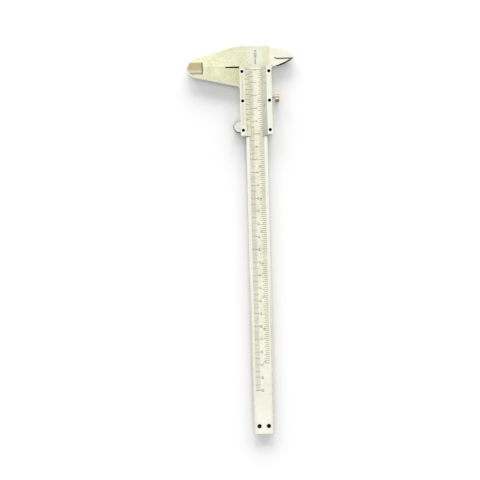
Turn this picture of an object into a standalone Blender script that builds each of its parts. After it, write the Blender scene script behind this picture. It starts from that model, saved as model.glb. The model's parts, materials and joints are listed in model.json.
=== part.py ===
"""A vernier caliper with 250 mm and 9 in scales, lying on its back with its jaws closed.

The sizes below are millimetres in the caliper's own layout, and MM turns them into metres:
X runs across the beam towards the inside jaws, Y along the beam towards the head, with 0 at the
scales' zero line, and Z out of the graduated face, with 0 where the back rests. Every part hangs
from one empty, which puts the bottom centre of the whole caliper at the world's origin.
"""

import math

import bmesh
import bpy
from mathutils import Matrix, Vector

MM = 0.001

# Levels above the surface that the caliper lies on
BACK_PLATE_TOP = 1.75
WALL_LOW = 1.85
BEAM_LOW = 1.9
MOVING_BLADE_TOP = 3.5
FIXED_BLADE_LOW = 3.65
BEAM_TOP = 5.4
WALL_TOP = 5.5
VERNIER_LOW = 5.55
RAIL_TOP = 8.0
ABOVE_ALL = 12.0
BELOW_ALL = -4.0

# Beam and head
BEAM_HALF_WIDTH = 8.2
HEAD_TOP_Y = 18.6
BEAM_END_Y = -283.9
HEAD_RIGHT_X = 11.5
SCALE_BAND_HALF_WIDTH = 5.9
SCALE_BAND_DEPTH = 0.12
GROOVE_HALF_WIDTH = 1.4
GROOVE_TOP = 3.6
GROOVE_START_Y = -8.0

# Jaws
SEAM_Y = 2.7
HALF_SEAM = 0.05
TIP_X = -53.9
FIXED_JAW_EDGE = ((-15.0, 15.7), (-47.5, 7.3), (-50.2, 5.3), (-51.8, 3.3))
MOVING_JAW_EDGE = ((-15.0, 14.0), (-46.5, 6.95), (-48.9, 6.1), (-51.4, 4.1))
JAW_FILLET = 2.4
NIB_X = -40.6
FIXED_NIB_REACH = 4.3
MOVING_NIB_REACH = 5.3
NIB_EDGE_TOP = 3.0
NIB_EDGE_LOW = 2.3
SLIT_START_X = -23.3
SLIT_END_X = -12.4
FIXED_SLIT_DEPTH = 0.15
MOVING_SLIT_DEPTH = 0.72
INSIDE_EDGE_Y = 9.4
FIXED_TIP = (30.4, INSIDE_EDGE_Y)
MOVING_TIP = (30.6, 10.4)
RELIEF_HOLE_X = 16.0
RELIEF_HOLE_RADIUS = 0.9
BLADE_BEVEL = 1.6
BLADE_BEVEL_START_X = 16.5
BLADE_EDGE = 0.75
MOVING_CREST_Y = 17.7
MOVING_ROOT_X = 14.3

# Slider
SLIDER_HALF_WIDTH = 12.4
WALL_INNER_X = 8.3
SLIDER_TOP_Y = SEAM_Y - HALF_SEAM
LEFT_WALL_END_Y = -50.4
RIGHT_WALL_END_Y = -49.4
BACK_PLATE_END_Y = -48.9
METRIC_RAIL_END_Y = -51.55
METRIC_SLOPE_END_Y = -52.2
INCH_RAIL_END_Y = -50.5
INCH_SLOPE_END_Y = -51.9
METRIC_TOP_Y = 1.8
INCH_TOP_Y = 2.3
RAIL_INNER_X = 8.4
RAIL_NOTCH_X = 8.3
METRIC_INNER_X = -4.6
INCH_INNER_X = 4.4
SLOPE_OUTER_TOP = 7.6
SLOPE_INNER_TOP = 5.95

# Screws
COVER_SCREW_X = 10.4
COVER_SCREW_YS = (-2.05, -24.8, -47.55)
COVER_HEAD_RADIUS = 1.2
COVER_HEAD_LOW = 7.2
COVER_SHANK_RADIUS = 0.6
COVER_SHANK_LOW = 4.6
COVER_HEAD_TOP = RAIL_TOP - 0.05
BACK_SCREW_PLACES = ((-10.4, -6.0), (-10.4, -33.0), (10.4, -9.0), (10.4, -42.0))
BACK_HEAD_RADIUS = 1.25
BACK_HEAD_LOW = 0.1
BACK_HEAD_TOP = 0.85
BACK_SHANK_RADIUS = 0.75
BACK_SHANK_TOP = 2.75
END_SCREW_PLACES = ((-3.65, -277.8), (3.65, -277.8))
END_HEAD_RADIUS = 1.55
END_HEAD_LOW = 4.55
END_SHANK_RADIUS = 0.85
END_SHANK_LOW = 0.3
SLOT_WIDTH = 0.32
SLOT_DEPTH = 0.3
CLEARANCE = 0.08

# Thumb wheel, which rolls on the beam's left edge
WHEEL_RADIUS = 5.1
WHEEL_X = -BEAM_HALF_WIDTH - WHEEL_RADIUS - 0.05
WHEEL_Y = -43.6
WHEEL_LOW = 1.95
WHEEL_TOP = 3.95
WHEEL_TEETH = 36
WHEEL_TOOTH_DEPTH = 0.22
WHEEL_POCKET_RADIUS = 5.45
WHEEL_POCKET_TOP = 4.4
EAR_RADIUS = 3.6
PIN_RADIUS = 1.0
PIN_FOOT_RADIUS = 0.8
PIN_HEAD_RADIUS = 1.8
PIN_HEAD_LOW = 4.0
PIN_HEAD_TOP = 4.3
PIN_LOW = 0.15

# Lock screw and gib
LOCK_Y = -21.4
LOCK_Z = 4.0
LOCK_STEM_RADIUS = 0.75
KNOB_RADIUS = 3.75
KNOB_START_X = 15.1
KNOB_END_X = 18.4
KNOB_TEETH = 32
KNOB_TOOTH_DEPTH = 0.2
GIB_INNER_X = 8.3
GIB_THICKNESS = 0.45
GIB_ENDS_Y = (-40.0, -6.0)
GIB_LOW = 2.35
GIB_TOP = 4.95
GIB_POCKET_X = 9.05
GIB_POCKET_ROOM = 0.15

# Depth rod and end plate
ROD_HALF_WIDTH = 1.2
ROD_LOW = 2.0
ROD_TOP = 3.4
ROD_START_Y = -10.0
RIVET_Y = -14.0
RIVET_RADIUS = 0.6
RIVET_TOP = 3.3
END_PLATE_TOP = 1.8
END_PLATE_LENGTH = 12.0

# The bottom centre of the whole caliper, in the layout above
CENTRE_X = (TIP_X + MOVING_TIP[0]) / 2
CENTRE_Y = (HEAD_TOP_Y + BEAM_END_Y) / 2

SATIN_STEEL = ((0.80, 0.80, 0.68), 0.42, 0.9)
GROUND_STEEL = ((0.86, 0.86, 0.76), 0.26, 1.0)
PALE_STEEL = ((0.70, 0.72, 0.60), 0.45, 0.85)
GREY_STEEL = ((0.55, 0.56, 0.55), 0.35, 1.0)
BLACK_STEEL = ((0.02, 0.02, 0.02), 0.4, 0.8)
BRASS = ((0.72, 0.58, 0.30), 0.28, 1.0)


# ---------------------------------------------------------------- scene and materials


def clear_scene():
    for obj in list(bpy.data.objects):
        bpy.data.objects.remove(obj, do_unlink=True)


def new_collection(name):
    collection = bpy.data.collections.new(name)
    bpy.context.scene.collection.children.link(collection)
    return collection


def new_empty(name, location, parent=None):
    empty = bpy.data.objects.new(name, None)
    empty.empty_display_size = 0.01
    empty.location = Vector(location) * MM
    empty.parent = parent
    PARTS.objects.link(empty)
    return empty


def metal(name, look):
    """A plain metal with this colour, roughness and metallic value."""
    colour, roughness, metallic = look
    material = bpy.data.materials.new(name)
    material.use_nodes = True
    shader = material.node_tree.nodes["Principled BSDF"]
    shader.inputs["Base Color"].default_value = (*colour, 1.0)
    shader.inputs["Roughness"].default_value = roughness
    shader.inputs["Metallic"].default_value = metallic
    return material


def finish_part(obj, look, parent, turned_shape=False):
    """Puts the object in the caliper's collection, under its parent, with a material of its own."""
    for collection in list(obj.users_collection):
        collection.objects.unlink(obj)
    PARTS.objects.link(obj)
    obj.parent = parent
    obj.data.materials.clear()
    obj.data.materials.append(metal(obj.name, look))
    if turned_shape:
        obj.data.shade_smooth()
        obj.data.set_sharp_from_angle(angle=math.radians(30))
    else:
        obj.data.shade_flat()
    return obj


# ---------------------------------------------------------------- outlines


def arc(centre, radius, start, end, steps):
    """Points on an arc, with its angles in degrees from +X."""
    points = []
    for i in range(steps + 1):
        angle = math.radians(start + (end - start) * i / steps)
        points.append((centre[0] + radius * math.cos(angle), centre[1] + radius * math.sin(angle)))
    return points


def bezier(start, lead, trail, end, steps):
    """Points on a cubic curve from start to end, pulled towards lead and trail."""
    points = []
    for i in range(steps + 1):
        t = i / steps
        weights = ((1 - t) ** 3, 3 * t * (1 - t) ** 2, 3 * t * t * (1 - t), t**3)
        corners = (start, lead, trail, end)
        points.append(
            (
                sum(w * c[0] for w, c in zip(weights, corners)),
                sum(w * c[1] for w, c in zip(weights, corners)),
            )
        )
    return points


def rounded_box_outline(x0, x1, y0, y1, radius, steps=4):
    points = arc((x1 - radius, y0 + radius), radius, -90, 0, steps)
    points += arc((x1 - radius, y1 - radius), radius, 0, 90, steps)
    points += arc((x0 + radius, y1 - radius), radius, 90, 180, steps)
    points += arc((x0 + radius, y0 + radius), radius, 180, 270, steps)
    return points


def toothed_outline(radius, depth, teeth):
    """A knurled edge: flat-topped teeth with valleys between them, centred on the origin."""
    points = []
    for i in range(teeth):
        middle = 2 * math.pi * i / teeth
        for offset, reach in ((-0.32, radius), (0.0, radius), (0.18, radius - depth)):
            angle = middle + offset * math.pi / teeth * 2
            points.append((reach * math.cos(angle), reach * math.sin(angle)))
    return points


# ---------------------------------------------------------------- solids


def settled(obj, name):
    """The object as a plain mesh, with its modifiers done and its loose caps welded on."""
    bpy.context.view_layer.update()
    graph = bpy.context.evaluated_depsgraph_get()
    mesh = bpy.data.meshes.new_from_object(obj.evaluated_get(graph))
    mesh.name = name
    shell = bmesh.new()
    shell.from_mesh(mesh)
    bmesh.ops.remove_doubles(shell, verts=shell.verts, dist=1e-7)
    bmesh.ops.recalc_face_normals(shell, faces=shell.faces)
    shell.to_mesh(mesh)
    shell.free()
    solid = bpy.data.objects.new(name, mesh)
    solid.matrix_world = obj.matrix_world.copy()
    bpy.context.scene.collection.objects.link(solid)
    bpy.data.objects.remove(obj, do_unlink=True)
    return solid


def plate(name, outline, low, high, origin=(0.0, 0.0)):
    """A flat plate with this outline, from z low to z high, with its origin at an XY place."""
    curve = bpy.data.curves.new(name + "_outline", "CURVE")
    curve.dimensions = "2D"
    curve.fill_mode = "BOTH"
    curve.extrude = (high - low) / 2 * MM
    spline = curve.splines.new("POLY")
    spline.points.add(len(outline) - 1)
    for point, (x, y) in zip(spline.points, outline):
        point.co = ((x - origin[0]) * MM, (y - origin[1]) * MM, 0.0, 1.0)
    spline.use_cyclic_u = True
    outline_object = bpy.data.objects.new(name + "_outline", curve)
    outline_object.location = Vector((origin[0], origin[1], (low + high) / 2)) * MM
    bpy.context.scene.collection.objects.link(outline_object)
    return settled(outline_object, name)


def box(name, x0, x1, y0, y1, low, high):
    bpy.ops.mesh.primitive_cube_add(size=1.0)
    obj = bpy.context.object
    obj.name = name
    sides = Vector((x1 - x0, y1 - y0, high - low)) * MM
    middle = Vector((x0 + x1, y0 + y1, low + high)) * MM / 2
    obj.data.transform(Matrix.Diagonal((*sides, 1.0)))
    obj.location = middle
    return obj


def turned(name, profile, location, steps, axis="Z"):
    """A turned solid. The profile is (radius, height) points from the top of the axis to its bottom."""
    mesh = bpy.data.meshes.new(name + "_profile")
    points = [(radius * MM, 0.0, height * MM) for radius, height in profile]
    mesh.from_pydata(points, [(i, i + 1) for i in range(len(points) - 1)], [])
    obj = bpy.data.objects.new(name + "_profile", mesh)
    bpy.context.scene.collection.objects.link(obj)
    screw = obj.modifiers.new("Turn", "SCREW")
    screw.axis = "Z"
    screw.steps = steps
    screw.render_steps = steps
    screw.use_merge_vertices = True
    screw.merge_threshold = 1e-6
    solid = settled(obj, name)
    if axis == "X":
        solid.data.transform(Matrix.Rotation(math.radians(90), 4, "Y"))
    solid.location = Vector(location) * MM
    return solid


def cylinder_profile(radius, low, high):
    return [(0.0, high), (radius, high), (radius, low), (0.0, low)]


def prism_x(name, section, x0, x1):
    """A prism along X whose section is given as (y, z) points."""
    solid = plate(name, section, x0, x1)
    turn = Matrix(((0, 0, 1, 0), (1, 0, 0, 0), (0, 1, 0, 0), (0, 0, 0, 1)))
    place = Vector((0.0, 0.0, (x0 + x1) / 2 * MM))
    solid.data.transform(turn @ Matrix.Translation(place))
    solid.location = (0.0, 0.0, 0.0)
    return solid


def as_cutter(obj):
    for collection in list(obj.users_collection):
        collection.objects.unlink(obj)
    CUTTERS.objects.link(obj)
    obj.display_type = "WIRE"
    obj.hide_render = True
    obj.parent = CALIPER
    return obj


def cut(target, cutter, operation="DIFFERENCE"):
    boolean = target.modifiers.new(cutter.name, "BOOLEAN")
    boolean.operation = operation
    boolean.solver = "EXACT"
    boolean.object = as_cutter(cutter)


# ---------------------------------------------------------------- jaws


def outside_jaw_edge(places, side):
    """The outer edge of an outside jaw, from its root to its tip; side is 1 for the fixed jaw.

    Each place is an X and its reach, the distance out from the seam.
    """
    edge = [(x, SEAM_Y + side * reach) for x, reach in places]
    return edge + [(TIP_X, SEAM_Y + side * HALF_SEAM)]


def seam_edge(side, depth):
    """The measuring face of an outside jaw, from its tip to its root, with its part of the slit."""
    face = SEAM_Y + side * HALF_SEAM
    slit = face + side * depth
    return [(SLIT_START_X, face), (SLIT_START_X, slit), (SLIT_END_X, slit), (SLIT_END_X, face)]


def cut_nib(jaw, name, reach):
    """Thins the last stretch of the jaw towards its measuring edge, on both faces."""
    slope = (WALL_TOP - NIB_EDGE_TOP) / reach
    over = 1.0
    front = [
        (SEAM_Y - reach - over, WALL_TOP + slope * over),
        (SEAM_Y, NIB_EDGE_TOP),
        (SEAM_Y + reach + over, WALL_TOP + slope * over),
    ]
    slope = (NIB_EDGE_LOW - WALL_LOW) / reach
    back = [
        (SEAM_Y - reach - over, WALL_LOW - slope * over),
        (SEAM_Y + reach + over, WALL_LOW - slope * over),
        (SEAM_Y, NIB_EDGE_LOW),
    ]
    cut(jaw, prism_x(name + "_nib_front", front, TIP_X - 2, NIB_X))
    cut(jaw, prism_x(name + "_nib_back", back, TIP_X - 2, NIB_X))


def head_outline():
    """Beam, head, fixed outside jaw and fixed inside jaw, going round anticlockwise."""
    corner = 1.2
    points = [(BEAM_HALF_WIDTH, BEAM_END_Y), (BEAM_HALF_WIDTH, SEAM_Y + HALF_SEAM)]
    points += [(12.0, SEAM_Y + HALF_SEAM)]
    points += bezier((13.0, 3.45), (18.4, 2.2), (24.4, 4.9), FIXED_TIP, 10)
    points += arc((RELIEF_HOLE_X, INSIDE_EDGE_Y), RELIEF_HOLE_RADIUS, 0, -180, 8)
    points += arc((HEAD_RIGHT_X + 0.8, INSIDE_EDGE_Y + 0.8), 0.8, 270, 180, 4)
    points += arc((HEAD_RIGHT_X - corner, HEAD_TOP_Y - corner), corner, 0, 90, 4)
    points += [(-12.0, HEAD_TOP_Y)]
    points += outside_jaw_edge(FIXED_JAW_EDGE, 1)
    points += seam_edge(1, FIXED_SLIT_DEPTH)
    notch = 0.6
    points += [
        (-BEAM_HALF_WIDTH - notch, SEAM_Y + HALF_SEAM),
        (-BEAM_HALF_WIDTH - notch, SEAM_Y + notch),
        (-BEAM_HALF_WIDTH, SEAM_Y + notch),
        (-BEAM_HALF_WIDTH, BEAM_END_Y),
    ]
    return points


def blade_bevel(name, side, edge_z, face_z):
    """The wedge that sharpens an inside blade to its measuring edge; side 1 lies above the edge."""
    over = 0.5
    rise = (face_z - edge_z) / BLADE_BEVEL
    edge_y = INSIDE_EDGE_Y - side * over
    section = [
        (edge_y, edge_z - rise * over),
        (INSIDE_EDGE_Y + side * (BLADE_BEVEL + over), face_z + rise * over),
        (edge_y, face_z + rise * over),
    ]
    return prism_x(name, section, BLADE_BEVEL_START_X, MOVING_TIP[0] + 3)


def build_main_beam():
    beam = plate("main_beam", head_outline(), BEAM_LOW, BEAM_TOP)
    step = box("inside_jaw_step", BEAM_HALF_WIDTH, 40, SEAM_Y - 5, 30, BELOW_ALL, FIXED_BLADE_LOW)
    cut(beam, step)
    cut(beam, blade_bevel("fixed_blade_bevel", -1, FIXED_BLADE_LOW + BLADE_EDGE, BEAM_TOP))
    groove_end = BEAM_END_Y - 3
    cut(beam, box("rod_groove", -GROOVE_HALF_WIDTH, GROOVE_HALF_WIDTH, groove_end, GROOVE_START_Y,
                  BELOW_ALL, GROOVE_TOP))
    cut(beam, box("scale_band", -SCALE_BAND_HALF_WIDTH, SCALE_BAND_HALF_WIDTH, groove_end,
                  HEAD_TOP_Y + 3, BEAM_TOP - SCALE_BAND_DEPTH, ABOVE_ALL))
    cut_nib(beam, "fixed", FIXED_NIB_REACH)
    hole = stepped_hole(END_HEAD_RADIUS, END_HEAD_LOW - CLEARANCE, END_SHANK_RADIUS)
    cut_holes(beam, END_SCREW_PLACES, hole, "beam_end_hole")
    return finish_part(beam, SATIN_STEEL, CALIPER)


# ---------------------------------------------------------------- slider


def cut_holes(target, places, profile, name):
    """One hole for each XY place, turned from a (radius, height) profile."""
    for number, (x, y) in enumerate(places, 1):
        cut(target, turned(f"{name}_{number}", profile, (x, y, 0), 20))


def stepped_hole(high_radius, step_z, low_radius):
    """A through hole that changes radius at one height, with the screws' clearance."""
    high = high_radius + CLEARANCE
    low = low_radius + CLEARANCE
    wide = [(0, ABOVE_ALL), (high, ABOVE_ALL), (high, step_z)]
    return wide + [(low, step_z), (low, BELOW_ALL), (0, BELOW_ALL)]


def cover_screw_places(side):
    return [(side * COVER_SCREW_X, y) for y in COVER_SCREW_YS]


def through_hole(radius):
    return cylinder_profile(radius + CLEARANCE, BELOW_ALL, ABOVE_ALL)


def tapped_from_above():
    """The blind hole that a cover screw's end goes into."""
    return cylinder_profile(COVER_SHANK_RADIUS + CLEARANCE, COVER_SHANK_LOW - CLEARANCE, ABOVE_ALL)


def tapped_from_below():
    """The blind hole that a back screw's end goes into."""
    return cylinder_profile(BACK_SHANK_RADIUS + CLEARANCE, BELOW_ALL, BACK_SHANK_TOP + CLEARANCE)


def build_outside_jaw_plate():
    wall_x = -SLIDER_HALF_WIDTH
    (root_x, root_reach), (next_x, next_reach) = MOVING_JAW_EDGE[:2]
    slope = (root_reach - next_reach) / (root_x - next_x)
    tangent = 90 - math.degrees(math.atan(slope))
    centre_x = wall_x - JAW_FILLET
    meets_x = centre_x + JAW_FILLET * math.cos(math.radians(tangent))
    meets_y = SEAM_Y - root_reach - slope * (meets_x - root_x)
    centre_y = meets_y - JAW_FILLET * math.sin(math.radians(tangent))
    points = seam_edge(-1, MOVING_SLIT_DEPTH)[::-1]
    points = [(-WALL_INNER_X, LEFT_WALL_END_Y), (-WALL_INNER_X, SLIDER_TOP_Y)] + points
    points += outside_jaw_edge(MOVING_JAW_EDGE, -1)[::-1]
    points += arc((centre_x, centre_y), JAW_FILLET, tangent, 0, 5)
    points += [(wall_x, LEFT_WALL_END_Y)]
    jaw = plate("outside_jaw_plate", points, WALL_LOW, WALL_TOP)
    cut_nib(jaw, "moving", MOVING_NIB_REACH)
    pocket = cylinder_profile(WHEEL_POCKET_RADIUS, BELOW_ALL, WHEEL_POCKET_TOP)
    cut(jaw, turned("wheel_pocket", pocket, (WHEEL_X, WHEEL_Y, 0), 40))
    cut_holes(jaw, cover_screw_places(-1), tapped_from_above(), "left_cover_hole")
    left = [place for place in BACK_SCREW_PLACES if place[0] < 0]
    cut_holes(jaw, left, tapped_from_below(), "left_back_hole")
    return finish_part(jaw, SATIN_STEEL, SLIDER)


def build_inside_jaw_plate():
    points = [(WALL_INNER_X, RIGHT_WALL_END_Y), (SLIDER_HALF_WIDTH, RIGHT_WALL_END_Y)]
    points += [(SLIDER_HALF_WIDTH, 0.3)]
    points += bezier((SLIDER_HALF_WIDTH, 0.9), (12.6, 2.4), (14.2, 2.9), (MOVING_ROOT_X, 5.0), 5)
    points += [(MOVING_ROOT_X, INSIDE_EDGE_Y)]
    points += arc((RELIEF_HOLE_X, INSIDE_EDGE_Y), RELIEF_HOLE_RADIUS, 180, 0, 8)
    points += [(MOVING_TIP[0] - 0.5, INSIDE_EDGE_Y)]
    points += bezier(MOVING_TIP, (26.3, 16.2), (18.5, 18.3), (HEAD_RIGHT_X, MOVING_CREST_Y), 10)
    points += [(WALL_INNER_X, MOVING_CREST_Y)]
    jaw = plate("inside_jaw_plate", points, WALL_LOW, WALL_TOP)
    step = box("moving_blade_step", 0, 40, SLIDER_TOP_Y, 30, MOVING_BLADE_TOP, ABOVE_ALL)
    cut(jaw, step)
    cut(jaw, blade_bevel("moving_blade_bevel", 1, MOVING_BLADE_TOP - BLADE_EDGE, WALL_LOW))
    room = GIB_POCKET_ROOM
    cut(jaw, box("gib_pocket", 0, GIB_POCKET_X, GIB_ENDS_Y[0] - 2 * room, GIB_ENDS_Y[1] + 2 * room,
                 GIB_LOW - room, GIB_TOP + room))
    stem = cylinder_profile(LOCK_STEM_RADIUS + CLEARANCE, 0, 30)
    cut(jaw, turned("lock_screw_hole", stem, (0, LOCK_Y, LOCK_Z), 24, axis="X"))
    cut_holes(jaw, cover_screw_places(1), tapped_from_above(), "right_cover_hole")
    right = [place for place in BACK_SCREW_PLACES if place[0] > 0]
    cut_holes(jaw, right, tapped_from_below(), "right_back_hole")
    return finish_part(jaw, SATIN_STEEL, SLIDER)


def build_back_plate():
    """The plate behind the beam, with a round ear that reaches out under the thumb wheel."""
    corner = 1.0
    half = SLIDER_HALF_WIDTH
    spread = math.degrees(math.acos((-half - WHEEL_X) / EAR_RADIUS))
    points = arc((half - corner, BACK_PLATE_END_Y + corner), corner, -90, 0, 4)
    points += arc((half - corner, SLIDER_TOP_Y - corner), corner, 0, 90, 4)
    points += arc((-half + corner, SLIDER_TOP_Y - corner), corner, 90, 180, 4)
    points += arc((WHEEL_X, WHEEL_Y), EAR_RADIUS, spread, 360 - spread, 20)
    points += arc((-half + corner, BACK_PLATE_END_Y + corner), corner, 180, 270, 4)
    back = plate("slider_back_plate", points, 0.0, BACK_PLATE_TOP)
    hole = stepped_hole(BACK_SHANK_RADIUS, BACK_HEAD_TOP + CLEARANCE, BACK_HEAD_RADIUS)
    cut_holes(back, BACK_SCREW_PLACES, hole, "back_hole")
    cut_holes(back, [(WHEEL_X, WHEEL_Y)], through_hole(PIN_FOOT_RADIUS), "pin_hole")
    cut_holes(back, [(0, RIVET_Y)], through_hole(RIVET_RADIUS), "rivet_hole")
    return finish_part(back, SATIN_STEEL, SLIDER)


def vernier_section(inner_x, side):
    """Section of a vernier plate across the beam: a flat rail, then a face sloping in to the beam."""
    return [
        (inner_x, VERNIER_LOW),
        (side * SLIDER_HALF_WIDTH, VERNIER_LOW),
        (side * SLIDER_HALF_WIDTH, RAIL_TOP),
        (side * RAIL_INNER_X, RAIL_TOP),
        (side * RAIL_INNER_X, SLOPE_OUTER_TOP),
        (inner_x, SLOPE_INNER_TOP),
    ]


def build_vernier_plate(name, inner_x, side, top_y, rail_end_y, slope_end_y):
    """A vernier plate: its section drawn in XY, then stood up along the beam.

    The rail stops short of the sloping face's end.
    """
    section = vernier_section(inner_x, side)
    solid = plate(name, section, -top_y, -slope_end_y)
    stand = Matrix(((1, 0, 0, 0), (0, 0, -1, 0), (0, 1, 0, 0), (0, 0, 0, 1)))
    middle = Vector((0.0, 0.0, -(top_y + slope_end_y) / 2 * MM))
    solid.data.transform(stand @ Matrix.Translation(middle))
    solid.location = (0.0, 0.0, 0.0)
    across = sorted((side * RAIL_NOTCH_X, side * (SLIDER_HALF_WIDTH + 2)))
    cut(solid, box(name + "_rail_end", *across, slope_end_y - 2, rail_end_y, BELOW_ALL, ABOVE_ALL))
    hole = stepped_hole(COVER_HEAD_RADIUS, COVER_HEAD_LOW - CLEARANCE, COVER_SHANK_RADIUS)
    cut_holes(solid, cover_screw_places(side), hole, name + "_hole")
    return finish_part(solid, PALE_STEEL, SLIDER)


# ---------------------------------------------------------------- screws, wheel, lock, rod


def screw_mesh(name, head_radius, head_low, top, shank_radius, shank_low):
    """A slotted screw with its head up, standing on the layout's Z axis."""
    profile = [(0, top), (head_radius, top), (head_radius, head_low)]
    profile += [(shank_radius, head_low), (shank_radius, shank_low), (0, shank_low)]
    blank = turned(name + "_blank", profile, (0, 0, 0), 20)
    half = head_radius + 1
    slot = box(name + "_slot", -half, half, -SLOT_WIDTH / 2, SLOT_WIDTH / 2, top - SLOT_DEPTH, top + 2)
    boolean = blank.modifiers.new("Slot", "BOOLEAN")
    boolean.solver = "EXACT"
    boolean.object = slot
    solid = settled(blank, name)
    bpy.data.objects.remove(slot, do_unlink=True)
    mesh = solid.data
    bpy.data.objects.remove(solid, do_unlink=True)
    return mesh


def place_screws(prefix, names, mesh, places, parent, look, flip=False):
    """One object for each screw, all sharing a mesh; flip turns their heads to face down."""
    for name, (x, y) in zip(names, places):
        obj = bpy.data.objects.new(prefix + name, mesh)
        bpy.context.scene.collection.objects.link(obj)
        obj.location = Vector((x, y, 0.0)) * MM
        if flip:
            obj.rotation_euler = (math.pi, 0.0, 0.0)
        finish_part(obj, look, parent, turned_shape=True)


def build_screws():
    mesh = screw_mesh("cover_screw", COVER_HEAD_RADIUS, COVER_HEAD_LOW, COVER_HEAD_TOP,
                      COVER_SHANK_RADIUS, COVER_SHANK_LOW)
    places = cover_screw_places(-1) + cover_screw_places(1)
    place_screws("cover_screw_", "123456", mesh, places, SLIDER, BLACK_STEEL)
    mesh = screw_mesh("back_screw", BACK_HEAD_RADIUS, -BACK_HEAD_TOP, -BACK_HEAD_LOW,
                      BACK_SHANK_RADIUS, -BACK_SHANK_TOP)
    place_screws("back_screw_", "1234", mesh, BACK_SCREW_PLACES, SLIDER, GREY_STEEL, flip=True)
    mesh = screw_mesh("end_plate_screw", END_HEAD_RADIUS, END_HEAD_LOW, BEAM_TOP, END_SHANK_RADIUS,
                      END_SHANK_LOW)
    place_screws("end_plate_screw_", ("left", "right"), mesh, END_SCREW_PLACES, CALIPER, BLACK_STEEL)


def build_thumb_wheel():
    teeth = toothed_outline(WHEEL_RADIUS, WHEEL_TOOTH_DEPTH, WHEEL_TEETH)
    outline = [(x + WHEEL_X, y + WHEEL_Y) for x, y in teeth]
    wheel = plate("thumb_wheel", outline, WHEEL_LOW, WHEEL_TOP, origin=(WHEEL_X, WHEEL_Y))
    cut_holes(wheel, [(WHEEL_X, WHEEL_Y)], through_hole(PIN_RADIUS), "wheel_bore")
    wheel.location -= WHEEL_SPIN.location
    finish_part(wheel, GROUND_STEEL, WHEEL_SPIN)
    profile = [(0, PIN_HEAD_TOP), (PIN_HEAD_RADIUS, PIN_HEAD_TOP), (PIN_HEAD_RADIUS, PIN_HEAD_LOW)]
    profile += [(PIN_RADIUS, PIN_HEAD_LOW), (PIN_RADIUS, WALL_LOW), (PIN_FOOT_RADIUS, WALL_LOW)]
    profile += [(PIN_FOOT_RADIUS, PIN_LOW), (0, PIN_LOW)]
    pin = turned("thumb_wheel_pin", profile, (WHEEL_X, WHEEL_Y, 0), 24)
    finish_part(pin, GREY_STEEL, SLIDER, turned_shape=True)


def build_lock():
    gib = box("gib_strip", GIB_INNER_X, GIB_INNER_X + GIB_THICKNESS, *GIB_ENDS_Y, GIB_LOW, GIB_TOP)
    finish_part(gib, GREY_STEEL, SLIDER)
    stem_start = GIB_INNER_X + GIB_THICKNESS + 0.1
    stem_end = KNOB_START_X + 0.3
    profile = cylinder_profile(LOCK_STEM_RADIUS, stem_start, stem_end)
    stem = turned("lock_screw", profile, (0, 0, 0), 24, axis="X")
    outline = toothed_outline(KNOB_RADIUS, KNOB_TOOTH_DEPTH, KNOB_TEETH)
    knob = plate("lock_knob", outline, KNOB_START_X, KNOB_END_X)
    knob.data.transform(Matrix.Translation((0, 0, (KNOB_START_X + KNOB_END_X) / 2 * MM)))
    knob.data.transform(Matrix.Rotation(math.radians(90), 4, "Y"))
    knob.location = (0.0, 0.0, 0.0)
    cut(stem, knob, "UNION")
    knob.parent = LOCK_TURN
    finish_part(stem, BRASS, LOCK_TURN, turned_shape=True)


def build_depth_rod():
    rod = box("depth_rod", -ROD_HALF_WIDTH, ROD_HALF_WIDTH, BEAM_END_Y, ROD_START_Y, ROD_LOW, ROD_TOP)
    cut_holes(rod, [(0, RIVET_Y)], through_hole(RIVET_RADIUS), "rod_rivet_hole")
    finish_part(rod, GREY_STEEL, SLIDER)
    profile = cylinder_profile(RIVET_RADIUS, PIN_LOW, RIVET_TOP)
    rivet = turned("depth_rod_rivet", profile, (0, RIVET_Y, 0), 16)
    finish_part(rivet, GREY_STEEL, SLIDER, turned_shape=True)


def build_end_plate():
    half = BEAM_HALF_WIDTH - 0.4
    outline = rounded_box_outline(-half, half, BEAM_END_Y, BEAM_END_Y + END_PLATE_LENGTH, 0.8)
    end = plate("end_plate", outline, 0.0, END_PLATE_TOP)
    cut_holes(end, END_SCREW_PLACES, through_hole(END_SHANK_RADIUS), "end_plate_hole")
    finish_part(end, SATIN_STEEL, CALIPER)


clear_scene()
PARTS = new_collection("vernier_caliper")
CUTTERS = new_collection("cutters")
CALIPER = new_empty("caliper_frame", (-CENTRE_X, -CENTRE_Y, 0.0))
SLIDER = new_empty("slider_frame", (0.0, 0.0, 0.0), CALIPER)
WHEEL_SPIN = new_empty("thumb_wheel_axis", (WHEEL_X, WHEEL_Y, 0.0), SLIDER)
LOCK_TURN = new_empty("lock_screw_axis", (0.0, LOCK_Y, LOCK_Z), SLIDER)
build_main_beam()
build_outside_jaw_plate()
build_inside_jaw_plate()
build_back_plate()
build_vernier_plate("metric_vernier_plate", METRIC_INNER_X, -1, METRIC_TOP_Y, METRIC_RAIL_END_Y,
                    METRIC_SLOPE_END_Y)
build_vernier_plate("inch_vernier_plate", INCH_INNER_X, 1, INCH_TOP_Y, INCH_RAIL_END_Y, INCH_SLOPE_END_Y)
build_screws()
build_thumb_wheel()
build_lock()
build_depth_rod()
build_end_plate()
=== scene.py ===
"""The looks of the vernier caliper: finished steel, brass, graduations, numerals, light and camera.

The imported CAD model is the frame, and nothing here moves or resizes it. Lengths are millimetres
in the caliper's own layout, and at() turns them into the frame's metres: X runs across the beam
towards the inside jaws, Y along the beam towards the head with 0 at the scales' zero line, and
Z out of the graduated face. The levels and the edges that graduations lie on come from the
CAD nodes' boxes.
"""
import json
import math

import bmesh
import bpy
from mathutils import Matrix, Vector

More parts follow.
